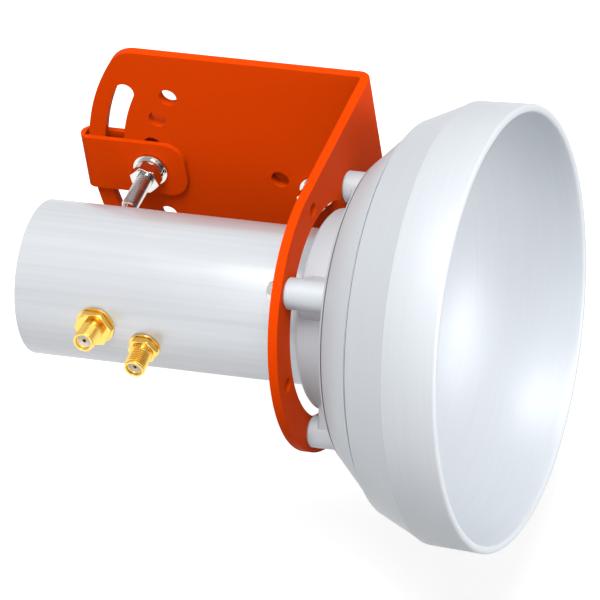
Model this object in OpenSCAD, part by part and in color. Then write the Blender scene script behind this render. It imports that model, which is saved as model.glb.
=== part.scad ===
// Circular waveguide horn antenna on a tilting pole bracket.
// Millimetres. +X is the horn axis towards the mouth, +Z is up, and the
// origin is on the axis in the front face of the bracket's ring.

/* [Waveguide tube] */
// Outer diameter of the tube
tube_od = 45; // [40:0.5:48]
// Wall of the tube
tube_wall = 2; // [1.5:0.25:3]
// Length of tube behind the ring's front face
tube_back = 88.5; // [80:0.5:110]
// Length of tube inside the horn's neck
tube_seat = 11.5; // [6:0.5:12]
// Thickness of the plate that closes the tube
cap_t = 3; // [2:0.5:5]

/* [Horn] */
// Radius of the neck
neck_r = 29; // [27:0.5:30]
// Gap between the ring and the neck
neck_gap = 0.5; // [0.3:0.1:1]
// Radius of the shoulder behind the bell
shoulder_r = 44.5; // [42.5:0.5:46]
// Distance from the ring to the shoulder
shoulder_x = 13.7; // [13:0.1:15]
// Radius of the bell where its flare starts
flare_r = 57; // [55:0.5:59]
// Distance from the ring to the start of the flare
flare_x = 25.8; // [24:0.1:28]
// Height of the small step at the start of the flare
flare_step = 0.9; // [0.5:0.1:1.5]
// Width of the seam grooves round the bell
seam_w = 0.5; // [0.3:0.1:0.8]
// Radius of the bell where its rim band starts
band_r = 63.4; // [61:0.1:65]
// Distance from the ring to the rim band
band_x = 39.4; // [37:0.1:42]
// Radius of the mouth outside
mouth_r = 64.3; // [63.8:0.1:70]
// Distance from the ring to the mouth
mouth_x = 55.7; // [52:0.1:65]
// Wall at the mouth
lip_wall = 2.4; // [2:0.1:3]
// Length of straight throat in front of the tube
throat_len = 2; // [1:0.5:4]

/* [Posts and screws] */
// Diameter of the circle of the eight ring holes
post_pcd = 71; // [70:0.5:72]
// Diameter of a post
post_d = 9.2; // [8.5:0.1:10]
// Diameter of the ring's holes
ring_hole_d = 4.3; // [3.6:0.1:4.8]
// Thread diameter of the bracket screws
screw_d = 3; // [2.5:0.5:3.5]
// Length of a bracket screw under its head
screw_len = 12; // [10:1:14]
// Diameter of a screw head
screw_head_d = 6; // [5.5:0.1:6.6]
// Height of a screw head
screw_head_h = 2.4; // [2:0.1:2.8]
// Thickness of the spring washer under a screw head
screw_washer_t = 0.8; // [0.6:0.1:1]

/* [Mount bracket] */
// Thickness of the mount bracket's sheet
sheet = 2.8; // [2.5:0.1:3.5]
// Inside radius of the folds
fold_r = 1; // [0.5:0.1:1.5]
// Outer radius of the ring
ring_r = 41.5; // [41:0.5:43]
// Radius of the hole in the ring
ring_bore_r = 31.3; // [31:0.1:32]
// Distance from the axis to the inner face of the side plate
side_y = 52.5; // [50:0.5:60]
// Half height of the side plate
side_half = 43.5; // [42:0.5:46]
// Distance from the ring's front face back to the pivot
pivot_back = 22.2; // [20:0.1:26]
// Radius of the side plate's back edge about the pivot
edge_arc_r = 71.3; // [70:0.1:74]
// Radius of the side plate's rounded back corners
corner_r = 9; // [6:0.5:12]

/* [Tilt pattern] */
// Angle of the pattern's middle line above the horn axis
pattern_tilt = 3; // [0:0.5:4]
// Distance between the legs of the clamp
leg_pitch = 51.5; // [50:0.5:52.5]
// Play of a bolt in its hole
hole_play = 0.08; // [0.05:0.01:0.1]
// Width of the slot and holes that the lock leg can use
lock_slot_w = 5.5; // [5.4:0.1:6]
// Tilt each way from the middle
tilt_range = 8; // [4:0.5:8]
// Angles of the spare lock holes on each side
spare_a = 20; // [18:1:22]
// Angle between one spare lock hole and the next
spare_step = 10.5; // [8:0.5:12]
// Radius of the long outer slot
long_slot_r = 63.4; // [62.5:0.1:64]
// Width of the long outer slot
long_slot_w = 5.8; // [4.5:0.1:5.8]
// Angle of the long outer slot each way
long_slot_a = 24; // [15:0.5:24.5]
// Distance from the pivot to the spare pivot hole
spare_pivot = 11.8; // [11:0.1:13]
// Angle of the spare pivot hole above the middle line
spare_pivot_a = 9; // [0:1:14]

/* [Pole bracket] */
// Thickness of the pole bracket's sheet
strap_t = 1.6; // [1.5:0.1:2.5]
// Gap between sliding faces
slide_gap = 0.06; // [0.05:0.01:0.1]
// Height of the tab above the pivot
tab_up = 11.7; // [11.5:0.1:15]
// Depth of the tab below the pivot
tab_down = 6.5; // [5:0.5:7]
// Distance from the pivot to the free end of the tab
tab_end = 40.5; // [38:0.1:42]
// Radius of the tab's free corners
tab_corner_r = 6.5; // [4:0.5:8]
// Depth of the saddle web below the pivot
web_down = 8.5; // [8.5:0.5:10]
// Depth of the saddle flanges outside the web
flange_depth = 12.4; // [11:0.1:15]
// Distance from the pivot forward to the end of the saddle
saddle_front = 14.5; // [12:0.5:16]
// Distance from the pivot back to the end of the flanges
flange_back = 58; // [56.5:0.5:62]
// Depth of the pole notch
notch_depth = 6; // [4:0.5:7]
// Half width of the pole notch at its mouth
notch_half = 17; // [14:0.5:19]

/* [Clamp] */
// Thread diameter of the U-bolt
bolt_d = 5; // [4.5:0.1:5.2]
// Length of thread beyond the nuts
bolt_out = 16; // [6:0.5:17]
// Diameter of the plain point at a leg's end
point_d = 3.7; // [3:0.1:4]
// Length of the plain point
point_len = 3; // [1:0.5:4]
// Straight length of the legs outside the saddle web
leg_out = 10; // [9:0.5:25]
// Width across flats of the nuts
nut_af = 8; // [7.8:0.1:8.4]
// Height of a nut
nut_h = 4; // [3.5:0.1:4.7]
// Diameter of a flat washer
washer_d = 10.6; // [9.8:0.1:10.8]
// Thickness of a flat washer
washer_t = 1; // [0.8:0.1:1.2]
// Diameter of a spring washer
spring_d = 8.6; // [8.2:0.1:9]
// Thickness of a spring washer
spring_t = 1.3; // [1:0.1:1.5]

/* [Connectors] */
// Distance from the ring back to the rear connector
rear_jack_back = 63.4; // [60:0.1:70]
// Distance from the ring back to the front connector
front_jack_back = 49; // [44:0.1:50]
// Angle of the rear connector above the side of the tube
rear_jack_a = 7; // [0:1:12]
// Angle of the front connector below the side of the tube
front_jack_a = 7; // [0:1:12]
// Thread diameter of a connector
jack_d = 6.35; // [6:0.05:6.5]
// Height of a connector above the tube
jack_h = 9.8; // [8.5:0.1:11]
// Width across flats of the rear connector's nut
rear_nut_af = 10; // [9.5:0.1:10.5]
// Width across flats of the front connector's nut
front_nut_af = 8; // [7.8:0.1:8.6]
// Height of a connector nut
jack_nut_h = 2.2; // [1.8:0.1:2.6]
// Thickness of a connector washer
jack_washer_t = 0.6; // [0.5:0.1:0.8]
// Diameter of the white insulator
insulator_d = 4.1; // [3.8:0.1:4.4]
// Diameter of the centre contact
contact_d = 1.27; // [1.2:0.01:1.3]
// Length of the probe inside the tube
probe_len = 12; // [10:0.5:13]

/* [Hidden] */
$fn = 72;
eps = 0.01;
over = 1;
fit = 0.03;

tube_r = tube_od / 2;
bore_r = tube_r - tube_wall;
seat_x = neck_gap + tube_seat;
throat_x = seat_x + throat_len;
post_r = post_pcd / 2;
post_a = [45, 135, 225, 315];
rim_chamfer = 0.8;
lip_round = 0.9;
bolt_r = bolt_d / 2;
side_out = side_y + sheet;
tab_face = side_y - slide_gap - strap_t;
web_face = side_out + slide_gap;
web_back = web_face + strap_t;
edge_gap = 0.5;
fold_back = edge_arc_r + edge_gap;
end_play = 0.5;
stack_t = washer_t + spring_t + nut_h;
pivot_seat = side_y - slide_gap;
leg_tip = tab_face - stack_t - bolt_out;
leg_end = web_back + leg_out;
tip_chamfer = 0.4;
jack_top = tube_r + jack_h;
nut_top = tube_r + jack_washer_t + jack_nut_h;
relief = 0.5;
nose_d = jack_d - 0.95;
nose_h = 0.7;
recess = 1;
socket_depth = 2;
web_root = 6.6;
bell_steps = 14;
belly = 5.5;
band_step = 0.2;
jack_hole_r = jack_d / 2 + 0.06;
flange_r = 4.4;
flange_z = sqrt(pow(bore_r, 2) - pow(flange_r, 2)) - 0.05;
flange_t = 1.4;
silver = [0.80, 0.82, 0.85];
steel = [0.72, 0.72, 0.73];
orange = [0.84, 0.27, 0.03];
gold = [0.86, 0.66, 0.24];

// ---- Helpers ----

// Turns a shape that is drawn along Z so that it lies along X.
module along_x() rotate([0, 90, 0]) children();

// Turns a shape that is drawn along Z so that it lies along Y.
module along_y() rotate([-90, 0, 0]) children();

// Makes a sheet from y to y + t of a flat drawing of (X, Z).
module sheet_xz(y, t)
    translate([0, y + t, 0]) rotate([90, 0, 0]) linear_extrude(t) children();

// Swaps the points of an outline drawn as [x, radius] for rotate_extrude.
function turned(points) = [for (p = points) [p[1], p[0]]];

// A point of the curve with one pull point between its two ends.
function curve_point(t, a, b, c) = pow(1 - t, 2) * a + 2 * t * (1 - t) * b + pow(t, 2) * c;

// A place on the side plate: a radius and an angle above the line back from the pivot.
function on_plate(r, a) = [-pivot_back - r * cos(a), 0, r * sin(a)];

// A round hole through the sheets that stand along the side plate.
module plate_hole(r, a, d, y, depth)
    translate(on_plate(r, a) + [0, y - over, 0]) along_y() cylinder(d = d, h = depth + 2 * over);

// A curved slot about the pivot, with round ends.
module arc_slot(r, w, mid, half, y, depth) {
    h = depth + 2 * over;
    translate([-pivot_back, y + depth + over, 0]) rotate([90, 0, 0]) {
        rotate([0, 0, 180 - mid - half]) rotate_extrude(angle = 2 * half)
            translate([r - w / 2, 0]) square([w, h]);
        for (end = [-1, 1]) rotate([0, 0, 180 - mid + end * half])
            translate([r, 0, 0]) cylinder(d = w, h = h);
    }
}

// A chamfered hexagon nut that stands on z = 0.
module hex_nut(af, h, bore_d) {
    corner = af / sqrt(3) + 0.05;
    land = af * 0.475;
    slope = (corner - land) * tan(30);
    difference() {
        intersection() {
            cylinder(d = af / cos(30), h = h, $fn = 6);
            rotate_extrude() polygon([[0, 0], [land, 0], [corner, slope],
                [corner, h - slope], [land, h], [0, h]]);
        }
        translate([0, 0, -over]) cylinder(d = bore_d, h = h + 2 * over);
    }
}

module flat_washer(d, bore_d, t) difference() {
    cylinder(d = d, h = t);
    translate([0, 0, -over]) cylinder(d = bore_d, h = t + 2 * over);
}

// A spring washer is a ring that is cut through at a slant.
module split_washer(d, bore_d, t, gap) difference() {
    flat_washer(d, bore_d, t);
    rotate([20, 0, 0]) translate([0, -gap / 2, -d]) cube([d, gap, 2 * d]);
}

// ---- Horn ----

module horn_section() {
    mouth_in = mouth_r - lip_wall;
    throat = [throat_x, bore_r];
    pull = [throat_x + 7, band_r - belly];
    lip = [mouth_x - lip_round, mouth_in];
    bell = [for (i = [0:bell_steps]) curve_point(i / bell_steps, throat, pull, lip)];
    round_in = [mouth_x - lip_round, mouth_in + lip_round];
    round_out = [mouth_x - lip_round, mouth_r - lip_round];
    rim = concat(
        [for (a = [-60:30:0]) round_in + lip_round * [cos(a), sin(a)]],
        [for (a = [0:30:90]) round_out + lip_round * [cos(a), sin(a)]]);
    outside = [
        [band_x, band_r + band_step], [band_x, band_r - seam_w], [band_x - seam_w, band_r - seam_w],
        [band_x - seam_w, band_r - seam_w * (band_r - flare_r) / (band_x - flare_x)],
        [flare_x, flare_r], [flare_x, flare_r - flare_step - seam_w],
        [flare_x - seam_w, flare_r - flare_step - seam_w], [flare_x - seam_w, flare_r - flare_step
            - seam_w * (flare_r - flare_step - shoulder_r) / (flare_x - shoulder_x)],
        [shoulder_x, shoulder_r], [shoulder_x, neck_r],
        [neck_gap + rim_chamfer, neck_r], [neck_gap, neck_r - rim_chamfer],
        [neck_gap, tube_r + fit], [seat_x, tube_r + fit], [seat_x, bore_r]];
    polygon(turned(concat(bell, rim, outside)));
}

// A post stands on the shoulder and a tapered web blends it into the neck.
module post() {
    web_start = 3;
    web_depth = post_r - neck_r + over;
    along_x() cylinder(d = post_d, h = shoulder_x + over);
    translate([web_start, 0, 0]) along_x() linear_extrude(shoulder_x + over - web_start)
        polygon([[-post_d / 2, 0], [post_d / 2, 0], [web_root, -web_depth],
            [-web_root, -web_depth]]);
}

module at_posts()
    for (a = post_a) rotate([a, 0, 0]) translate([0, post_r, 0]) children();

module horn() color(silver) difference() {
    union() {
        along_x() rotate_extrude() horn_section();
        at_posts() post();
    }
    at_posts() translate([-over, 0, 0]) along_x()
        cylinder(d = screw_d + 2 * fit, h = over + screw_len - sheet);
}

// ---- Waveguide ----

// Local +Z points out through the wall of the tube at a connector.
module at_jack(back, above) translate([-back, 0, 0]) rotate([90 - above, 0, 0]) children();
module at_rear_jack() at_jack(rear_jack_back, rear_jack_a) children();
module at_front_jack() at_jack(front_jack_back, -front_jack_a) children();

module waveguide_tube() color(silver) difference() {
    translate([-tube_back, 0, 0]) along_x() cylinder(r = tube_r, h = tube_back + seat_x);
    translate([-tube_back - over, 0, 0]) along_x()
        cylinder(r = bore_r, h = tube_back + seat_x + 2 * over);
    at_rear_jack() cylinder(r = jack_hole_r, h = tube_r + over);
    at_front_jack() cylinder(r = jack_hole_r, h = tube_r + over);
}

module tube_cap() color(silver)
    translate([-tube_back, 0, 0]) along_x() cylinder(r = bore_r - fit, h = cap_t);

// ---- Connectors ----

module jack_body() color(gold) difference() {
    union() {
        translate([0, 0, flange_z - flange_t]) cylinder(r = flange_r, h = flange_t);
        translate([0, 0, flange_z - eps])
            cylinder(d = jack_d, h = jack_top - nose_h - flange_z + eps);
        translate([0, 0, jack_top - nose_h - eps]) cylinder(d = nose_d, h = nose_h + eps);
    }
    translate([0, 0, nut_top]) difference() {
        cylinder(d = jack_d + over, h = relief);
        translate([0, 0, -over]) cylinder(d = jack_d - relief, h = relief + 2 * over);
    }
    translate([0, 0, flange_z - flange_t - over])
        cylinder(d = insulator_d + 2 * fit, h = jack_top);
    translate([0, 0, jack_top - recess]) cylinder(d = insulator_d + 0.4, h = recess + over);
}

module jack_insulator() color("white") difference() {
    translate([0, 0, flange_z - flange_t])
        cylinder(d = insulator_d, h = jack_top - recess - flange_z + flange_t);
    translate([0, 0, flange_z - flange_t - over])
        cylinder(d = contact_d + 2 * fit, h = jack_top);
}

module jack_contact() color(gold) difference() {
    translate([0, 0, bore_r - probe_len])
        cylinder(d = contact_d, h = jack_top - recess - bore_r + probe_len);
    translate([0, 0, jack_top - recess - socket_depth])
        cylinder(d = contact_d - 0.36, h = socket_depth + over);
}

module jack_washer(nut_af) color(gold) translate([0, 0, tube_r])
    flat_washer(nut_af / cos(30), jack_d + 0.2, jack_washer_t);

module jack_nut(nut_af) color(gold) translate([0, 0, tube_r + jack_washer_t])
    hex_nut(nut_af, jack_nut_h, jack_d + 2 * fit);

module rear_jack_body() at_rear_jack() jack_body();
module rear_jack_insulator() at_rear_jack() jack_insulator();
module rear_jack_contact() at_rear_jack() jack_contact();
module rear_jack_washer() at_rear_jack() jack_washer(rear_nut_af);
module rear_jack_nut() at_rear_jack() jack_nut(rear_nut_af);
module front_jack_body() at_front_jack() jack_body();
module front_jack_insulator() at_front_jack() jack_insulator();
module front_jack_contact() at_front_jack() jack_contact();
module front_jack_washer() at_front_jack() jack_washer(front_nut_af);
module front_jack_nut() at_front_jack() jack_nut(front_nut_af);

// ---- Mount bracket ----

// A point at a distance and an angle from the middle of a flat drawing.
function ray(r, a) = r * [cos(a), sin(a)];

// Drawn as (-Z, Y): a round ring that runs out straight to the fold.
module ring_outline() {
    circle(r = ring_r);
    polygon([[-ring_r, 0], [ring_r, 0], [side_half, side_y - fold_r],
        [-side_half, side_y - fold_r]]);
}

// Drawn as (X, Z): the back edge is an arc about the pivot, with rounded corners.
module side_outline() {
    front = -sheet - fold_r;
    corner_z = side_half - corner_r;
    reach = edge_arc_r - corner_r;
    corner_x = -pivot_back - sqrt(pow(reach, 2) - pow(corner_z, 2));
    lean = 180 - asin(corner_z / reach);
    cut = 2 * corner_r;
    slack = 4;
    difference() {
        intersection() {
            translate([-pivot_back, 0]) circle(r = edge_arc_r);
            translate([front - 2 * edge_arc_r, -side_half])
                square([2 * edge_arc_r, 2 * side_half]);
        }
        for (side = [0, 1]) mirror([0, side]) translate([corner_x, corner_z])
            polygon([[0, 0], ray(cut, 90 + slack), ray(1.4 * cut, (lean + 90) / 2),
                ray(cut, lean - slack)]);
    }
    for (side = [0, 1]) mirror([0, side]) translate([corner_x, corner_z]) circle(r = corner_r);
}

module mount_bracket() color(orange) difference() {
    union() {
        translate([-sheet, 0, 0]) along_x() linear_extrude(sheet) ring_outline();
        translate([-sheet - fold_r, side_y - fold_r, -side_half])
            rotate_extrude(angle = 90) translate([fold_r, 0]) square([sheet, 2 * side_half]);
        sheet_xz(side_y, sheet) side_outline();
    }
    translate([-sheet - over, 0, 0]) along_x()
        cylinder(r = ring_bore_r, h = sheet + 2 * over);
    for (i = [0:7]) rotate([45 * i, 0, 0]) translate([-sheet - over, post_r, 0]) along_x()
        cylinder(d = ring_hole_d, h = sheet + 2 * over);
    plate_hole(0, 0, bolt_d + 2 * hole_play, side_y, sheet);
    plate_hole(spare_pivot, pattern_tilt + spare_pivot_a, lock_slot_w, side_y, sheet);
    for (side = [-1, 1], a = [spare_a, spare_a + spare_step])
        plate_hole(leg_pitch, pattern_tilt + side * a, lock_slot_w, side_y, sheet);
    arc_slot(leg_pitch, lock_slot_w, pattern_tilt, tilt_range + end_play, side_y, sheet);
    arc_slot(long_slot_r, long_slot_w, pattern_tilt, long_slot_a, side_y, sheet);
}

module screw_head() {
    head_r = screw_head_d / 2;
    difference() {
        rotate_extrude() polygon([[0, 0], [head_r, 0], [head_r, 0.45 * screw_head_h],
            [0.9 * head_r, 0.75 * screw_head_h], [0.66 * head_r, 0.94 * screw_head_h],
            [0.3 * head_r, screw_head_h], [0, screw_head_h]]);
        for (a = [0, 90]) rotate([0, 0, a + 20])
            translate([-0.58 * head_r, -0.35, 0.5 * screw_head_h])
                cube([1.16 * head_r, 0.7, screw_head_h]);
    }
}

module bracket_screws() color(steel) at_posts()
    translate([-sheet - screw_washer_t, 0, 0]) {
        rotate([0, -90, 0]) screw_head();
        along_x() cylinder(d = screw_d, h = screw_len);
    }

module screw_washers() color(steel) at_posts()
    translate([-sheet - screw_washer_t, 0, 0]) along_x()
        split_washer(screw_head_d - 0.4, screw_d + 0.2, screw_washer_t, 0.6);

// ---- Pole bracket ----

// Drawn as (X, Z): a plain strip whose free end has rounded corners.
module tab_outline() {
    start = -pivot_back - fold_back;
    end = -pivot_back - tab_end;
    translate([start + tab_corner_r, -tab_down])
        square([end - start - 2 * tab_corner_r, tab_up + tab_down]);
    translate([start + tab_corner_r, -tab_down + tab_corner_r])
        square([end - start - tab_corner_r, tab_up + tab_down - 2 * tab_corner_r]);
    for (z = [-tab_down + tab_corner_r, tab_up - tab_corner_r])
        translate([end - tab_corner_r, z]) circle(r = tab_corner_r);
}

// Drawn as (X, Y): the end of the strip is folded round the side plate's edge.
module fold_outline() {
    outer = (web_back - tab_face) / 2;
    inner = outer - strap_t;
    inside = -pivot_back - fold_back;
    middle_y = tab_face + outer;
    difference() {
        union() {
            translate([inside - strap_t + outer, middle_y]) circle(r = outer);
            translate([inside - strap_t + outer, tab_face])
                square([tab_corner_r + strap_t, 2 * outer]);
        }
        translate([inside, middle_y - inner]) square([outer + 2 * tab_corner_r, 2 * inner]);
    }
}

// Drawn as (-Z, Y): a block with its two front corners rounded.
module front_rounded(up, down, front, back, r) {
    translate([-up, front + r]) square([up + down, back - front - r]);
    translate([-up + r, front]) square([up + down - 2 * r, r + eps]);
    for (z = [-up + r, down - r]) translate([z, front + r]) circle(r = r);
}

module saddle() {
    back = web_face + flange_depth;
    start = -pivot_back - flange_back;
    length = flange_back + saddle_front;
    middle_x = -pivot_back - leg_pitch * cos(pattern_tilt) / 2;
    difference() {
        translate([start, 0, 0]) along_x() linear_extrude(length) difference() {
            front_rounded(tab_up, web_down, web_face, back, fold_r + strap_t);
            front_rounded(tab_up - strap_t, web_down - strap_t, web_back, back + over, fold_r);
        }
        translate([middle_x, back, -web_down - over]) linear_extrude(tab_up + web_down + 2 * over)
            polygon([[-notch_half - 2, over], [-notch_half, 0], [-3, -notch_depth],
                [3, -notch_depth], [notch_half, 0], [notch_half + 2, over]]);
    }
}

module pole_bracket() color(orange) difference() {
    union() {
        sheet_xz(tab_face, strap_t) tab_outline();
        translate([0, 0, -tab_down]) linear_extrude(tab_up + tab_down) fold_outline();
        translate([-pivot_back - fold_back + strap_t, web_face, -tab_down])
            cube([fold_back - flange_back, strap_t, tab_up + tab_down]);
        saddle();
    }
    plate_hole(0, 0, bolt_d + 2 * hole_play, web_face, strap_t);
    plate_hole(leg_pitch, pattern_tilt, bolt_d + 2 * hole_play, web_face, strap_t);
    plate_hole(leg_pitch, pattern_tilt, bolt_d + 2 * hole_play, tab_face, strap_t);
}

// ---- Clamp ----

// Local X runs along the line of the two legs, from the pivot leg.
module at_legs() translate([-pivot_back, 0, 0]) rotate([0, pattern_tilt, 0]) children();
module at_pivot(y) at_legs() translate([0, y, 0]) along_y() children();
module at_lock(y) at_legs() translate([-leg_pitch, y, 0]) along_y() children();

module u_bolt_leg(x) translate([x, leg_tip, 0]) along_y() rotate_extrude() polygon([
    [0, 0], [point_d / 2 - tip_chamfer, 0], [point_d / 2, tip_chamfer], [point_d / 2, point_len],
    [bolt_r, point_len + bolt_r - point_d / 2], [bolt_r, leg_end - leg_tip], [0, leg_end - leg_tip]]);

module u_bolt() color(steel) at_legs() {
    u_bolt_leg(0);
    u_bolt_leg(-leg_pitch);
    translate([-leg_pitch / 2, leg_end, 0])
        rotate_extrude(angle = 180) translate([leg_pitch / 2, 0]) circle(r = bolt_r);
}

module clamp_washer() flat_washer(washer_d, bolt_d + 0.3, washer_t);
module clamp_spring() split_washer(spring_d, bolt_d + 0.2, spring_t, 0.9);
module clamp_nut() rotate([0, 0, 15]) hex_nut(nut_af, nut_h, bolt_d + 2 * fit);

module pivot_washer() color(steel) at_pivot(pivot_seat - washer_t) clamp_washer();
module pivot_spring_washer() color(steel) at_pivot(pivot_seat - washer_t - spring_t) clamp_spring();
module pivot_nut() color(steel) at_pivot(pivot_seat - stack_t) clamp_nut();
module lock_washer() color(steel) at_lock(tab_face - washer_t) clamp_washer();
module lock_spring_washer() color(steel) at_lock(tab_face - washer_t - spring_t) clamp_spring();
module lock_nut() color(steel) at_lock(tab_face - stack_t) clamp_nut();

horn();
waveguide_tube();
tube_cap();
mount_bracket();
bracket_screws();
screw_washers();
pole_bracket();
u_bolt();
pivot_washer();
pivot_spring_washer();
pivot_nut();
lock_washer();
lock_spring_washer();
lock_nut();
rear_jack_body();
rear_jack_insulator();
rear_jack_contact();
rear_jack_washer();
rear_jack_nut();
front_jack_body();
front_jack_insulator();
front_jack_contact();
front_jack_washer();
front_jack_nut();
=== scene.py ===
# %% [markdown]
# A horn antenna on a tilting bracket, dressed in Blender.
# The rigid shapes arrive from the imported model, in metres, and every piece made here lies on them.
# The frame is loaded first, because all later places are read from it.

from math import cos, pi, radians, sin, sqrt

import bpy
from mathutils import Matrix, Vector


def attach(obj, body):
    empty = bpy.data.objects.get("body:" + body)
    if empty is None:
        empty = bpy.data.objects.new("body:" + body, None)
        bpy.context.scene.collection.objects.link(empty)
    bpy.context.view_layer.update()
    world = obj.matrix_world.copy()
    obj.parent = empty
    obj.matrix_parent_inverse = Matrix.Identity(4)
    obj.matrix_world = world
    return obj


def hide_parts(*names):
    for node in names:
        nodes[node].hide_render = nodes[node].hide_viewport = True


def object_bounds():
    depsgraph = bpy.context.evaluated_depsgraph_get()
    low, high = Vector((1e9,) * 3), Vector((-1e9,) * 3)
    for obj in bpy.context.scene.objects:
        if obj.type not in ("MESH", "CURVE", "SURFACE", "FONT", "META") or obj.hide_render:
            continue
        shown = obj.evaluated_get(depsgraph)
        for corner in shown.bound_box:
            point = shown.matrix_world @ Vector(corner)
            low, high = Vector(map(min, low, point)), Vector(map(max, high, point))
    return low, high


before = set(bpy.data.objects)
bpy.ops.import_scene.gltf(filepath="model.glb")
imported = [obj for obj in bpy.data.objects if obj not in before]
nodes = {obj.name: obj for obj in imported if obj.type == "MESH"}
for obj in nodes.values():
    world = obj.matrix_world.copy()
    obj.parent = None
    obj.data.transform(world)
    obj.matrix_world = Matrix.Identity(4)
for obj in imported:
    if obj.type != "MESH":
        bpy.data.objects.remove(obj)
cad_box = [list(corner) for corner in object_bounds()]
mm = 0.001
print("nodes:", len(nodes), "box in mm:", [[round(v / mm, 1) for v in c] for c in cad_box])

# %% [markdown]
# The camera comes early, so that every later piece can be looked at as it is made.
# It stands far off with a long lens, in front of the horn's mouth, to its left and above it,
# and it is rolled a little, so that the tube runs down to the left.

# %% Camera
camera_place, camera_turn = (0.7807, -1.6466, 1.3904), (52.355, 7.691, 19.721)
bpy.ops.object.camera_add(location=camera_place, rotation=[radians(a) for a in camera_turn])
camera = bpy.context.object
camera.name = "studio_camera"
camera.data.sensor_width = 36
camera.data.lens = 480.8
camera.data.clip_end = 20
bpy.context.scene.camera = camera
print("camera distance:", round(camera.location.length, 3))

# %% [markdown]
# Most pieces of this antenna are turned on a lathe, so the first helper turns an outline about an axis.
# By hand that is a single vertex, extruded from point to point and then spun round.
# The outline is a list of (place along the axis, radius) in millimetres, and the axis is X.
# A turned piece is drawn at the origin and then put in place by a matrix, which goes into its mesh.


# %% Helpers for turned pieces
def select_only(piece):
    bpy.ops.object.select_all(action="DESELECT")
    piece.select_set(True)
    bpy.context.view_layer.objects.active = piece


def add_modifier(piece, kind, **values):
    """Adds one modifier with these values and applies it at once."""
    select_only(piece)
    bpy.ops.object.modifier_add(type=kind)
    modifier = piece.modifiers[-1]
    for key, value in values.items():
        setattr(modifier, key, value)
    bpy.ops.object.modifier_apply(modifier=modifier.name)


def clean_mesh(piece, merge=0.002 * mm):
    """Merges doubled vertices and turns all faces outwards."""
    select_only(piece)
    bpy.ops.object.mode_set(mode="EDIT")
    bpy.ops.mesh.select_all(action="SELECT")
    bpy.ops.mesh.remove_doubles(threshold=merge)
    bpy.ops.mesh.normals_make_consistent(inside=False)
    bpy.ops.object.mode_set(mode="OBJECT")


def put(piece, matrix):
    """Moves the piece by a matrix and leaves its object at the origin."""
    piece.matrix_world = matrix
    select_only(piece)
    bpy.ops.object.transform_apply(location=True, rotation=True, scale=True)


def shade(piece, angle=32):
    select_only(piece)
    bpy.ops.object.shade_smooth_by_angle(angle=radians(angle))


def draw_line(name, outline):
    """One vertex, extruded along the outline of (x, radius) points in millimetres."""
    bpy.ops.object.select_all(action="DESELECT")
    bpy.ops.mesh.primitive_plane_add(size=mm, location=(0, 0, 0))
    piece = bpy.context.object
    piece.name = name
    bpy.ops.object.mode_set(mode="EDIT")
    bpy.ops.mesh.select_all(action="SELECT")
    bpy.ops.mesh.merge(type="CENTER")
    here = Vector((0, 0, 0))
    for step, (x, radius) in enumerate(outline):
        there = Vector((x * mm, 0, radius * mm))
        if step:
            bpy.ops.mesh.extrude_region_move(TRANSFORM_OT_translate={"value": there - here})
        else:
            bpy.ops.transform.translate(value=there - here)
        here = there
    bpy.ops.object.mode_set(mode="OBJECT")
    return piece


def turn(name, outline, steps=128, edge=0.0, edge_angle=25):
    """Spins a closed outline round the X axis, and rounds its corners by edge."""
    piece = draw_line(name, list(outline) + [outline[0]])
    bpy.ops.object.mode_set(mode="EDIT")
    bpy.ops.mesh.select_all(action="SELECT")
    bpy.ops.mesh.spin(steps=steps, angle=2 * pi, center=(0, 0, 0), axis=(1, 0, 0))
    bpy.ops.object.mode_set(mode="OBJECT")
    clean_mesh(piece)
    if edge:
        add_modifier(piece, "BEVEL", width=edge * mm, segments=3, limit_method="ANGLE",
                     angle_limit=radians(edge_angle), use_clamp_overlap=True)
    shade(piece)
    return piece


def hand_in(piece, body, slot, *replaced):
    """Parents the piece to the empty named after its body and hides the nodes that it stands for; slot is
    not used.
    """
    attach(piece, body)
    if replaced:
        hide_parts(*replaced)
    print(piece.name, len(piece.data.polygons), "faces")
    return piece


# %% [markdown]
# The finishes share three effects: a fine grain, soft smudges and drawn lines.
# Each effect is a node group with its own inputs, so one grain serves paint, gold and plastic.
# A group gives out plain values only, and the shader of each material stays in the material.


# %% Shared effects
def new_group(name, inputs, outputs):
    group = bpy.data.node_groups.new(name, "ShaderNodeTree")
    for title, kind, value in inputs:
        socket = group.interface.new_socket(name=title, in_out="INPUT", socket_type=kind)
        if value is not None:
            socket.default_value = value
    for title, kind in outputs:
        group.interface.new_socket(name=title, in_out="OUTPUT", socket_type=kind)
    return group, group.nodes.new("NodeGroupInput"), group.nodes.new("NodeGroupOutput")


def make_grain():
    """Fine grain: a height for the bump and a value near 1 that varies the colour."""
    group, given, out = new_group(
        "fine grain",
        [("Vector", "NodeSocketVector", None), ("Grains per metre", "NodeSocketFloat", 3000.0),
         ("Colour change", "NodeSocketFloat", 0.05)],
        [("Height", "NodeSocketFloat"), ("Tone", "NodeSocketFloat")])
    noise = group.nodes.new("ShaderNodeTexNoise")
    noise.inputs["Detail"].default_value = 3
    noise.inputs["Roughness"].default_value = 0.55
    spread = group.nodes.new("ShaderNodeMath")
    spread.operation = "MULTIPLY_ADD"
    middle = group.nodes.new("ShaderNodeMath")
    middle.operation = "SUBTRACT"
    middle.inputs[1].default_value = 0.5
    group.links.new(given.outputs["Vector"], noise.inputs["Vector"])
    group.links.new(given.outputs["Grains per metre"], noise.inputs["Scale"])
    group.links.new(noise.outputs["Fac"], middle.inputs[0])
    group.links.new(middle.outputs[0], spread.inputs[0])
    group.links.new(given.outputs["Colour change"], spread.inputs[1])
    spread.inputs[2].default_value = 1
    group.links.new(noise.outputs["Fac"], out.inputs["Height"])
    group.links.new(spread.outputs[0], out.inputs["Tone"])
    return group


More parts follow.
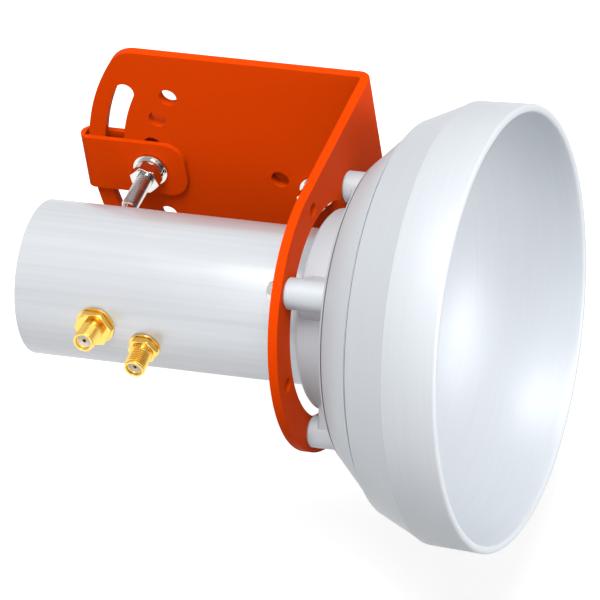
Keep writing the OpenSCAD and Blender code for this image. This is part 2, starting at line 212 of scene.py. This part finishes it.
def make_smudges():
    """Soft smudges: a roughness that wanders between two values."""
    group, given, out = new_group(
        "soft smudges",
        [("Vector", "NodeSocketVector", None), ("Smudges per metre", "NodeSocketFloat", 40.0),
         ("Low", "NodeSocketFloat", 0.3), ("High", "NodeSocketFloat", 0.4)],
        [("Roughness", "NodeSocketFloat"), ("Mask", "NodeSocketFloat")])
    noise = group.nodes.new("ShaderNodeTexNoise")
    noise.inputs["Detail"].default_value = 4
    noise.inputs["Distortion"].default_value = 0.6
    spread = group.nodes.new("ShaderNodeMapRange")
    spread.inputs["From Min"].default_value = 0.35
    spread.inputs["From Max"].default_value = 0.65
    group.links.new(given.outputs["Vector"], noise.inputs["Vector"])
    group.links.new(given.outputs["Smudges per metre"], noise.inputs["Scale"])
    group.links.new(noise.outputs["Fac"], spread.inputs["Value"])
    group.links.new(given.outputs["Low"], spread.inputs["To Min"])
    group.links.new(given.outputs["High"], spread.inputs["To Max"])
    group.links.new(spread.outputs["Result"], out.inputs["Roughness"])
    group.links.new(noise.outputs["Fac"], out.inputs["Mask"])
    return group


def make_lines():
    """Drawn lines: noise squeezed across the drawing direction."""
    group, given, out = new_group(
        "drawn lines",
        [("Vector", "NodeSocketVector", None), ("Stretch", "NodeSocketVector", (12.0, 900.0, 900.0)),
         ("Colour change", "NodeSocketFloat", 0.06)],
        [("Height", "NodeSocketFloat"), ("Tone", "NodeSocketFloat")])
    squeeze = group.nodes.new("ShaderNodeVectorMath")
    squeeze.operation = "MULTIPLY"
    noise = group.nodes.new("ShaderNodeTexNoise")
    noise.inputs["Scale"].default_value = 1
    noise.inputs["Detail"].default_value = 5
    noise.inputs["Roughness"].default_value = 0.6
    middle = group.nodes.new("ShaderNodeMath")
    middle.operation = "SUBTRACT"
    middle.inputs[1].default_value = 0.5
    spread = group.nodes.new("ShaderNodeMath")
    spread.operation = "MULTIPLY_ADD"
    spread.inputs[2].default_value = 1
    group.links.new(given.outputs["Vector"], squeeze.inputs[0])
    group.links.new(given.outputs["Stretch"], squeeze.inputs[1])
    group.links.new(squeeze.outputs[0], noise.inputs["Vector"])
    group.links.new(noise.outputs["Fac"], middle.inputs[0])
    group.links.new(middle.outputs[0], spread.inputs[0])
    group.links.new(given.outputs["Colour change"], spread.inputs[1])
    group.links.new(noise.outputs["Fac"], out.inputs["Height"])
    group.links.new(spread.outputs[0], out.inputs["Tone"])
    return group


fine_grain, soft_smudges, drawn_lines = make_grain(), make_smudges(), make_lines()
print("groups:", fine_grain.name, soft_smudges.name, drawn_lines.name)

# %% [markdown]
# A material here is a Principled shader with a base colour that the grain or the lines vary a little,
# a roughness from the smudges, and a bump of a few micrometres.
# The real scale matters: the turning marks of the bell are about half a millimetre wide,
# and so is the paint's orange peel. The paint throws a muted colour on its neighbours,
# which stay silver.


# %% Material builder
def mix_in(tree, how, share, first, second):
    """A colour mix; the share and the second colour may be a socket or a value."""
    mix = tree.nodes.new("ShaderNodeMix")
    mix.data_type = "RGBA"
    mix.blend_type = how
    tree.links.new(first, mix.inputs["A"])
    for value, socket in ((share, mix.inputs["Factor"]), (second, mix.inputs["B"])):
        if hasattr(value, "is_linked"):
            tree.links.new(value, socket)
        else:
            socket.default_value = value
    return mix.outputs["Result"]


def finish(name, colour, metallic, low, high, smudges=45.0, grain=None, lines=None, bump=0.00001,
           tone=0.05, strength=0.6, mirror=None, spill=None):
    material = bpy.data.materials.new(name)
    material.use_nodes = True
    tree = material.node_tree
    shader = tree.nodes["Principled BSDF"]
    shader.inputs["Metallic"].default_value = metallic
    if mirror is not None:
        shader.inputs["Specular IOR Level"].default_value = mirror
    where = tree.nodes.new("ShaderNodeTexCoord")
    rough = tree.nodes.new("ShaderNodeGroup")
    rough.node_tree = soft_smudges
    rough.inputs["Smudges per metre"].default_value = smudges
    rough.inputs["Low"].default_value = low
    rough.inputs["High"].default_value = high
    tree.links.new(where.outputs["Object"], rough.inputs["Vector"])
    tree.links.new(rough.outputs["Roughness"], shader.inputs["Roughness"])
    relief = tree.nodes.new("ShaderNodeGroup")
    if lines:
        relief.node_tree = drawn_lines
        relief.inputs["Stretch"].default_value = lines
    else:
        relief.node_tree = fine_grain
        relief.inputs["Grains per metre"].default_value = grain
    relief.inputs["Colour change"].default_value = tone
    tree.links.new(where.outputs["Object"], relief.inputs["Vector"])
    dye = tree.nodes.new("ShaderNodeMix")
    dye.data_type = "RGBA"
    dye.blend_type = "MULTIPLY"
    dye.inputs["Factor"].default_value = 1
    dye.inputs["A"].default_value = (*colour, 1)
    tree.links.new(relief.outputs["Tone"], dye.inputs["B"])
    colour_out = dye.outputs["Result"]
    if spill:
        rays = tree.nodes.new("ShaderNodeLightPath")
        colour_out = mix_in(tree, "MIX", rays.outputs["Is Diffuse Ray"], colour_out, spill)
    tree.links.new(colour_out, shader.inputs["Base Color"])
    bumps = tree.nodes.new("ShaderNodeBump")
    bumps.inputs["Distance"].default_value = bump
    bumps.inputs["Strength"].default_value = strength
    tree.links.new(relief.outputs["Height"], bumps.inputs["Height"])
    tree.links.new(bumps.outputs["Normal"], shader.inputs["Normal"])
    return material


def paint(piece, material):
    piece.data.materials.clear()
    piece.data.materials.append(material)


cast_silver = finish("cast_silver", (0.635, 0.667, 0.705), 0.15, 0.42, 0.52, smudges=30,
                     lines=(1700, 25, 25), bump=0.00002, tone=0.09, strength=0.4, mirror=0.4)
drawn_tube = finish("drawn_tube", (0.65, 0.672, 0.705), 0.3, 0.30, 0.38, smudges=25,
                    lines=(14, 700, 700), bump=0.00002, tone=0.22, strength=0.4)
powder_coat = finish("powder_coat", (0.88, 0.064, 0.0), 0.0, 0.5, 0.6, smudges=35, grain=1400,
                     bump=0.00004, tone=0.05, strength=0.4, mirror=0.03, spill=(0.24, 0.20, 0.19, 1))
bright_steel = finish("bright_steel", (0.60, 0.59, 0.57), 1.0, 0.05, 0.12, smudges=160,
                      lines=(500, 60, 500), bump=0.00001, tone=0.2, strength=0.3)
gold_plate = finish("gold_plate", (0.84, 0.55, 0.14), 1.0, 0.08, 0.16, smudges=200, grain=5000,
                    bump=0.00001, tone=0.06, strength=0.3)
white_insulator = finish("white_insulator", (0.84, 0.83, 0.80), 0.0, 0.45, 0.6, smudges=300, grain=4000,
                         bump=0.00001, tone=0.04, strength=0.4)
# A near black that paints the shade inside the contacts' holes.
hole_painted_shade = finish("hole_painted_shade", (0.012, 0.01, 0.008), 0.0, 0.6, 0.7, grain=4000, bump=0.00001)
# A dark grey that paints the shade in the bell's seam notches.
seam_painted_shade = finish("seam_painted_shade", (0.20, 0.205, 0.22), 0.1, 0.6, 0.7, grain=4000, bump=0.00001)
print("materials:", len(bpy.data.materials))

# %% [markdown]
# The bell is one casting: a neck, a flat shoulder, two cones and a rim band, each set off from the next
# by a fine seam, and a smooth curve inside. Its outline is turned about the horn's axis.
# Each seam is a small notch in the outline. Its faces get a dark grey colour, painted shade for the notch,
# so it reads as a thin line.

# %% Bell
throat_x, bore_r = 14.0, 20.5
mouth_x, mouth_r, lip_wall = 55.7, 64.3, 2.4
mouth_in = mouth_r - lip_wall
lip_round = 0.9


def inner_curve(t):
    """The inside of the bell, from its throat at t = 0 to its lip at t = 1."""
    start, pull, end = (throat_x, bore_r), (throat_x + 7, mouth_in - 4), (mouth_x - lip_round, mouth_in)
    return [(1 - t) ** 2 * a + 2 * t * (1 - t) * b + t ** 2 * c for a, b, c in zip(start, pull, end)]


def arc(middle, radius, first, last, count=5):
    """Points of an arc in the outline, from one angle to another, in degrees."""
    turn_by = (last - first) / (count - 1)
    return [(middle[0] + radius * cos(radians(first + turn_by * i)),
             middle[1] + radius * sin(radians(first + turn_by * i))) for i in range(count)]


bell_outline = [inner_curve(i / 36) for i in range(37)]
bell_outline += arc((mouth_x - lip_round, mouth_in + lip_round), lip_round, -60, 0)
bell_outline += arc((mouth_x - lip_round, mouth_r - lip_round), lip_round, 0, 90)
bell_outline += [(39.4, 63.6), (39.3, 63.3), (26.3, 57.24), (26.3, 56.6), (25.8, 56.4), (25.8, 55.1),
                 (25.25, 55.1), (25.25, 55.58), (14.9, 45.63), (14.9, 45.1), (14.45, 44.7),
                 (14.45, 45.2), (13.7, 44.5), (13.7, 29.0), (1.3, 29.0), (0.5, 28.2),
                 (0.5, 22.53), (12.0, 22.53), (12.0, 20.5)]
bell = turn("bell", bell_outline, steps=220, edge=0.12)
paint(bell, cast_silver)
# The faces in the flare and shoulder notches take the painted seam shade.
bell.data.materials.append(seam_painted_shade)
for face in bell.data.polygons:
    x, radius = face.center.x / mm, sqrt(face.center.y ** 2 + face.center.z ** 2) / mm
    at_flare = 25.7 < x < 26.32 and 56 < radius < 57.1
    at_shoulder = 14.4 < x < 14.92 and 44.5 < radius < 45.4
    if at_flare or at_shoulder:
        face.material_index = 1

# %% [markdown]
# Four posts stand on the shoulder and carry the ring. Each is a round column with a thin groove at its
# foot, and a web that runs in to the neck. One post is made, and the other three are copies of it,
# turned about the horn's axis and joined to the bell, because they are one casting.

# %% Posts
post_r, post_radius = 35.5, 4.6
post_outline = [(0.0, 0.0), (0.0, post_radius - 0.5), (0.5, post_radius), (11.9, post_radius)]
post_outline += [(12.9, post_radius), (12.9, post_radius - 0.35), (13.3, post_radius - 0.35),
                 (13.3, post_radius + 0.3), (14.6, post_radius + 0.3), (14.6, 0.0)]


def make_web(name):
    """The web between a post and the neck: a block that widens towards the neck."""
    bpy.ops.object.select_all(action="DESELECT")
    bpy.ops.mesh.primitive_cube_add(size=1, location=(0, 0, 0))
    web = bpy.context.object
    web.name = name
    web.scale = (11.4 * mm, 2 * post_radius * mm, 8.0 * mm)
    web.location = (8.7 * mm, 0, 31.5 * mm)
    bpy.ops.object.transform_apply(location=True, rotation=False, scale=True)
    bpy.ops.object.mode_set(mode="EDIT")
    bpy.ops.mesh.select_all(action="DESELECT")
    bpy.ops.object.mode_set(mode="OBJECT")
    for vertex in web.data.vertices:
        vertex.select = vertex.co.z < 30 * mm
    bpy.ops.object.mode_set(mode="EDIT")
    bpy.ops.transform.resize(value=(1, 1.42, 1))
    bpy.ops.object.mode_set(mode="OBJECT")
    add_modifier(web, "BEVEL", width=0.9 * mm, segments=4)
    shade(web)
    return web


pieces_of_bell = [bell]
for number in range(4):
    spin_by = Matrix.Rotation(radians(45 + 90 * number), 4, "X")
    column = turn(f"post_{number}", post_outline, steps=48)
    put(column, spin_by @ Matrix.Translation((0, 0, post_r * mm)))
    web = make_web(f"web_{number}")
    put(web, spin_by)
    for part in (column, web):
        paint(part, cast_silver)
        pieces_of_bell.append(part)
bpy.ops.object.select_all(action="DESELECT")
for part in pieces_of_bell:
    part.select_set(True)
bpy.context.view_layer.objects.active = bell
bpy.ops.object.join()
hand_in(bell, "antenna", "aluminium", "horn")

# %% [markdown]
# The waveguide is a drawn tube with a cleanly broken rear edge, and its end is closed by a plate.
# It is turned like the bell. Two holes let the connectors through, and a Boolean cuts them.

# %% Waveguide tube
tube_r, tube_end, tube_seat = 22.5, -88.5, 12.0
tube = turn("tube", [(tube_end, bore_r), (tube_end, tube_r), (tube_seat, tube_r), (tube_seat, bore_r)],
            steps=192, edge=0.35)


def jack_place(back, above):
    """The place of a connector: its own X axis runs out through the tube's wall."""
    return (Matrix.Translation((-back * mm, 0, 0)) @ Matrix.Rotation(radians(-above), 4, "X")
            @ Matrix.Rotation(radians(-90), 4, "Z"))


rear_jack = jack_place(63.4, 7)
front_jack = jack_place(49.0, -7)
for place in (rear_jack, front_jack):
    cutter = turn("cutter", [(15, 0), (15, 3.24), (30, 3.24), (30, 0)], steps=40)
    put(cutter, place)
    add_modifier(tube, "BOOLEAN", operation="DIFFERENCE", object=cutter, solver="EXACT")
    bpy.data.objects.remove(cutter)
shade(tube)
paint(tube, drawn_tube)
hand_in(tube, "antenna", "aluminium", "waveguide_tube")

# %% [markdown]
# The rear end of the tube is closed by a plate that sits just inside it, with its face turned flat.

# %% Tube end plate
plate = turn("end_plate", [(tube_end, 0), (tube_end, bore_r - 0.03), (tube_end + 3, bore_r - 0.03),
                           (tube_end + 3, 0)], steps=128, edge=0.45)
turned_face = finish("turned_face", (0.62, 0.64, 0.67), 0.7, 0.28, 0.36, smudges=25, grain=3000,
                     bump=0.00001, tone=0.08, strength=0.4)
paint(plate, turned_face)
hand_in(plate, "antenna", "aluminium", "tube_cap")

# %% [markdown]
# The two brackets are laser-cut sheet, folded and powder coated. Their solids already have the right
# shape, but the paint rounds every cut edge, and that thin bright edge is what makes them look real.
# So a copy of each solid is merged, its flat faces are dissolved, and its edges get a small bevel.


# %% Folded brackets and other pieces with softened edges
def soften(node, name, edge, body, slot, material, segments=3, angle=30):
    """A copy of a node with merged faces and rounded edges, which stands for the node."""
    piece = nodes[node].copy()
    piece.data = nodes[node].data.copy()
    piece.name = name
    for key in list(piece.keys()):
        del piece[key]
    piece.parent = None
    bpy.context.scene.collection.objects.link(piece)
    select_only(piece)
    bpy.ops.mesh.customdata_custom_splitnormals_clear()
    bpy.ops.object.mode_set(mode="EDIT")
    bpy.ops.mesh.select_all(action="SELECT")
    bpy.ops.mesh.remove_doubles(threshold=0.004 * mm)
    bpy.ops.mesh.dissolve_limited(angle_limit=radians(0.6))
    bpy.ops.object.mode_set(mode="OBJECT")
    if edge:
        add_modifier(piece, "BEVEL", width=edge * mm, segments=segments, limit_method="ANGLE",
                     angle_limit=radians(angle), use_clamp_overlap=True)
    shade(piece)
    add_modifier(piece, "WEIGHTED_NORMAL", weight=100, keep_sharp=True)
    paint(piece, material)
    return hand_in(piece, body, slot, node)


soften("mount_bracket", "ring_and_side_plate", 0.35, "antenna", "painted_steel", powder_coat)
soften("pole_bracket", "folded_pole_bracket", 0.35, "pole_side", "painted_steel", powder_coat)

# %% [markdown]
# A thread is a helix. One pitch of its profile is drawn as a short line, and the Screw modifier
# sweeps it round and along the axis. The two ends run into a plain core, which closes them.


# %% Threads
def thread(name, radius, pitch, start, length, depth=None, steps=32):
    """A helical thread about the X axis from start, with its crests at radius."""
    depth = depth or 0.6 * pitch
    root = radius - depth
    outline = [(0, root), (0.12 * pitch, root), (0.44 * pitch, radius), (0.56 * pitch, radius),
               (0.88 * pitch, root), (pitch, root)]
    piece = draw_line(name, outline)
    turns = int(length / pitch)
    add_modifier(piece, "SCREW", axis="X", angle=2 * pi, screw_offset=pitch * mm, iterations=turns,
                 steps=steps, render_steps=steps, use_merge_vertices=True, merge_threshold=0.001 * mm)
    put(piece, Matrix.Translation((start * mm, 0, 0)))
    clean_mesh(piece)
    shade(piece, 50)
    return piece


def join(pieces, name):
    bpy.ops.object.select_all(action="DESELECT")
    for part in pieces:
        part.select_set(True)
    bpy.context.view_layer.objects.active = pieces[0]
    bpy.ops.object.join()
    pieces[0].name = name
    return pieces[0]


# %% [markdown]
# The U-bolt's two legs come through the brackets and end in front of them. A circle is extruded along
# one leg, spun half round for the bow, and extruded back along the other leg.
# The legs are threaded at their ends.

# %% U-bolt
pivot = Vector((-22.2, 0, 0)) * mm
legs = Matrix.Translation(pivot) @ Matrix.Rotation(radians(3), 4, "Y")
leg_pitch, bolt_r = 51.5, 2.5
leg_tip, leg_end = 28.54, 66.96
smooth_from = 50


def make_bow():
    bpy.ops.object.select_all(action="DESELECT")
    bpy.ops.mesh.primitive_circle_add(vertices=40, radius=bolt_r * mm, location=(0, smooth_from * mm, 0),
                                      rotation=(radians(90), 0, 0))
    bow = bpy.context.object
    bow.name = "bow"
    bpy.ops.object.transform_apply(location=True, rotation=True, scale=True)
    bpy.ops.object.mode_set(mode="EDIT")
    bpy.ops.mesh.select_all(action="SELECT")
    straight = (leg_end - smooth_from) * mm
    bpy.ops.mesh.extrude_region_move(TRANSFORM_OT_translate={"value": (0, straight, 0)})
    bpy.ops.mesh.spin(steps=64, angle=pi, center=(-leg_pitch / 2 * mm, leg_end * mm, 0), axis=(0, 0, -1))
    bpy.ops.mesh.extrude_region_move(TRANSFORM_OT_translate={"value": (0, -straight, 0)})
    bpy.ops.object.mode_set(mode="OBJECT")
    clean_mesh(bow)
    shade(bow)
    return bow


def make_leg(name):
    """A leg's threaded end, drawn along X from its tip."""
    full = smooth_from + 0.5 - leg_tip
    point_r, core_r, point_len, thread_from = 1.85, 2.1, 3.0, 3.3
    core = turn(name, [(0, 0), (0, 1.5), (0.35, point_r), (point_len, point_r), (3.25, core_r),
                       (full, core_r), (full, 0)], steps=40)
    ridge = thread(name + "_thread", bolt_r, 0.8, thread_from, full - thread_from)
    return [core, ridge]


bow = make_bow()
rod = [bow]
for number, along in enumerate((0, -leg_pitch)):
    for part in make_leg(f"leg_{number}"):
        upright = Matrix.Rotation(radians(90), 4, "Z")
        put(part, Matrix.Translation((along * mm, leg_tip * mm, 0)) @ upright)
        rod.append(part)
for part in rod:
    put(part, legs)
    paint(part, bright_steel)
join(rod, "threaded_u_bolt")
hand_in(bow, "pole_side", "stainless_steel", "u_bolt")

# %% [markdown]
# The nuts, washers and screws keep the shapes that the frame brings, with a small polished edge.
# Those on the two legs stay with the pole, and those in the ring turn with the antenna.

# %% Nuts, washers and screws
for node in ("pivot_nut", "lock_nut", "pivot_washer", "lock_washer",
             "pivot_spring_washer", "lock_spring_washer"):
    soften(node, "polished_" + node, 0.12, "pole_side", "stainless_steel", bright_steel, segments=2)
for node in ("bracket_screws", "screw_washers"):
    soften(node, "polished_" + node, 0.08, "antenna", "stainless_steel", bright_steel, segments=2,
           angle=35)

# %% [markdown]
# The coaxial connectors are gold plated. Each has a fine thread for the cable's nut, a smooth nose,
# a white insulator set back in the mouth, and a slotted contact whose hole is painted near black as shade.

# %% Coaxial connectors
jack_top, nose_h, nose_r = 32.3, 0.7, 2.98
jack_r, core_r, relief_x = 3.175, 2.72, 25.3
flange_r, flange_t = 4.4, 1.4
flange_z = sqrt(bore_r ** 2 - flange_r ** 2) - 0.05
for side, place in (("rear", rear_jack), ("front", front_jack)):
    barrel = turn(side + "_barrel", [
        (flange_z - flange_t, 2.08), (flange_z - flange_t, flange_r), (flange_z, flange_r),
        (flange_z, jack_r), (relief_x, jack_r), (relief_x, core_r),
        (jack_top - nose_h, 2.74), (jack_top - nose_h + 0.1, nose_r), (jack_top, nose_r),
        (jack_top, 2.36), (jack_top - 1.0, 2.28), (jack_top - 1.0, 2.08)], steps=64, edge=0.1)
    ridge = thread(side + "_thread", jack_r, 0.7, 25.85, 5.7, depth=0.45, steps=40)
    for part in (barrel, ridge):
        put(part, place)
        paint(part, gold_plate)
    join([barrel, ridge], side + "_threaded_barrel")
    brass = "gold_plated_brass"
    hand_in(barrel, "antenna", brass, side + "_jack_body")
    soften(side + "_jack_nut", side + "_jack_hex", 0.12, "antenna", brass, gold_plate, segments=2)
    soften(side + "_jack_washer", side + "_jack_ring", 0.08, "antenna", brass, gold_plate, segments=2)
    pin = soften(side + "_jack_contact", side + "_contact", 0.05, "antenna", brass, gold_plate,
                 segments=2)
    # The faces inside the contact's hole take the near-black painted shade.
    pin.data.materials.append(hole_painted_shade)
    for face in pin.data.polygons:
        here = place.inverted() @ face.center
        if here.x > 25 * mm and here.yz.length < 0.475 * mm:
            face.material_index = 1
    soften(side + "_jack_insulator", side + "_insulator", 0.08, "antenna", "ptfe", white_insulator,
           segments=2)

# %% [markdown]
# The floor and the light. The antenna is held by its pole clamp, so the floor lies below it and only
# takes its soft shadow. The floor is pale to the camera and in bright metal, and bounces less light, so the
# undersides of the silver pieces keep their shade.

# %% Floor
low = cad_box[0][2] - 45 * mm
bpy.ops.object.select_all(action="DESELECT")
bpy.ops.mesh.primitive_plane_add(size=30, location=(0, 0, low))
floor = bpy.context.object
floor.name = "floor"
floor_paint = bpy.data.materials.new("floor_paint")
floor_paint.use_nodes = True
tree = floor_paint.node_tree
matt = tree.nodes["Principled BSDF"]
matt.inputs["Roughness"].default_value = 0.9
matt.inputs["Specular IOR Level"].default_value = 0
rays = tree.nodes.new("ShaderNodeLightPath")
first = tree.nodes.new("ShaderNodeMath")
first.operation = "MAXIMUM"
either = tree.nodes.new("ShaderNodeMath")
either.operation = "MAXIMUM"
tree.links.new(rays.outputs["Is Camera Ray"], first.inputs[0])
tree.links.new(rays.outputs["Is Glossy Ray"], first.inputs[1])
tree.links.new(first.outputs[0], either.inputs[0])
tree.links.new(rays.outputs["Is Transmission Ray"], either.inputs[1])
shown = tree.nodes.new("ShaderNodeMapRange")
shown.inputs["To Min"].default_value = 0.14
shown.inputs["To Max"].default_value = 0.9
glow = tree.nodes.new("ShaderNodeMath")
glow.operation = "MULTIPLY"
glow.inputs[1].default_value = 0.45
tree.links.new(either.outputs[0], shown.inputs["Value"])
tree.links.new(either.outputs[0], glow.inputs[0])
tree.links.new(shown.outputs["Result"], matt.inputs["Base Color"])
tree.links.new(glow.outputs[0], matt.inputs["Emission Strength"])
matt.inputs["Emission Color"].default_value = (1, 1, 1, 1)
paint(floor, floor_paint)

# %% [markdown]
# The world is white to the camera, to mirrors and through clear matter, and dimmer as a light.

# %% World
world = bpy.data.worlds.new("studio")
bpy.context.scene.world = world
world.use_nodes = True
tree = world.node_tree
back = tree.nodes["Background"]
rays = tree.nodes.new("ShaderNodeLightPath")
seen = tree.nodes.new("ShaderNodeMath")
seen.operation = "MAXIMUM"
shown = tree.nodes.new("ShaderNodeMath")
shown.operation = "MAXIMUM"
level = tree.nodes.new("ShaderNodeMapRange")
level.inputs["To Min"].default_value = 0.45
level.inputs["To Max"].default_value = 1.0
tree.links.new(rays.outputs["Is Camera Ray"], seen.inputs[0])
tree.links.new(rays.outputs["Is Glossy Ray"], seen.inputs[1])
tree.links.new(seen.outputs[0], shown.inputs[0])
tree.links.new(rays.outputs["Is Transmission Ray"], shown.inputs[1])
tree.links.new(shown.outputs[0], level.inputs["Value"])
tree.links.new(level.outputs["Result"], back.inputs["Strength"])
back.inputs["Color"].default_value = (1, 1, 1, 1)

# %% [markdown]
# A large key lamp above gives the tube its soft highlight, a weak lamp in front lifts the orange sheet,
# and a third one looks into the mouth, so that the inside of the bell is bright.


# %% Lamps
def lamp(name, place, size, power):
    bpy.ops.object.light_add(type="AREA", location=place)
    light = bpy.context.object
    light.name = name
    light.data.size = size
    light.data.energy = power
    light.rotation_euler = (-Vector(place)).to_track_quat("-Z", "Y").to_euler()
    return light


lamp("key_lamp", (0.3, -0.6, 1.9), 1.0, 31)
lamp("front_lamp", (0.2, -1.8, 0.9), 1.0, 6)
lamp("mouth_lamp", (1.9, -0.1, 0.25), 0.9, 24)
bpy.context.scene.view_settings.view_transform = "Standard"
